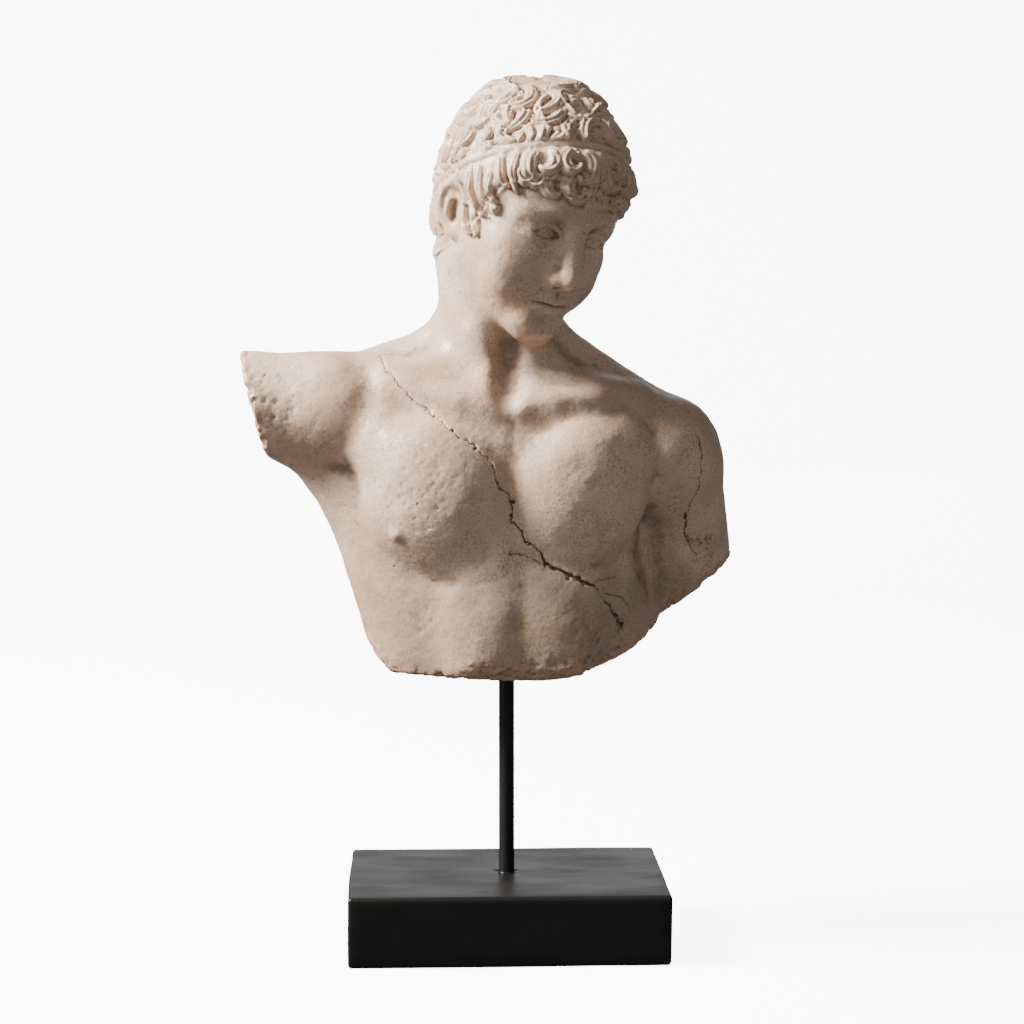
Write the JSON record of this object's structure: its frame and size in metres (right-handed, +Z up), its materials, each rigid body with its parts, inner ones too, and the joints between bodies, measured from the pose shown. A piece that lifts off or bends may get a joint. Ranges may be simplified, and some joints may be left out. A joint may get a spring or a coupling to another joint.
{
  "type": "bust",
  "caption": "Antique-style bust of a youth with curly banded hair and broken-off arms, held by a rod over a black block; stands on the block.",
  "frame": {"origin": "centre of the block's underside", "axes": "+Z up along the rod; the chest faces -Y; the figure's left is +X"},
  "size_m": [0.3139, 0.1381, 0.5511],
  "materials": {
    "cast_marble": "weathered cast marble",
    "black_steel": "satin",
    "black_lacquer": "satin black paint"
  },
  "bodies": {
    "root": {"bust": "cast_marble", "rod": "black_steel", "base": "black_lacquer"}
  },
  "joints": []
}
